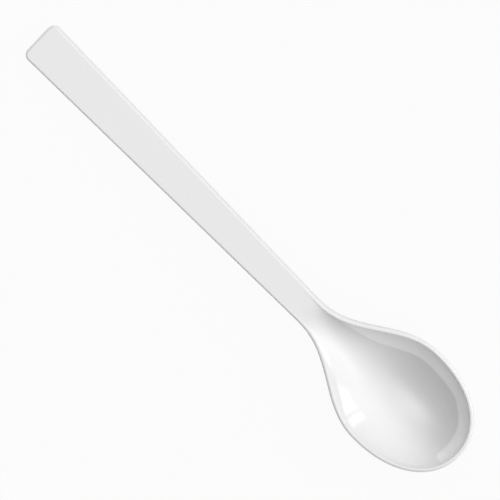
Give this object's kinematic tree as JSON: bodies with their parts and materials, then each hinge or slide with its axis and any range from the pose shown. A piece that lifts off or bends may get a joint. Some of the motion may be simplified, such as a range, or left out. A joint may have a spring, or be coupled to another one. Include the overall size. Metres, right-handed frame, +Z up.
{
  "type": "salad serving spoon",
  "caption": "Salad serving spoon with a long straight flat handle and an egg-shaped bowl, moulded in glossy white plastic, for lifting and serving salad.",
  "frame": {"origin": "on the table that the spoon lies on, under the middle of its bounding box", "axes": "+X from the handle's end to the bowl's tip, +Z up, out of the bowl, +Y to the left of +X"},
  "size_m": [0.3, 0.0628, 0.02],
  "materials": {
    "white_melamine": "glossy, compression moulded"
  },
  "bodies": {
    "root": {"handle": "white_melamine", "neck": "white_melamine", "bowl": "white_melamine"}
  },
  "joints": []
}
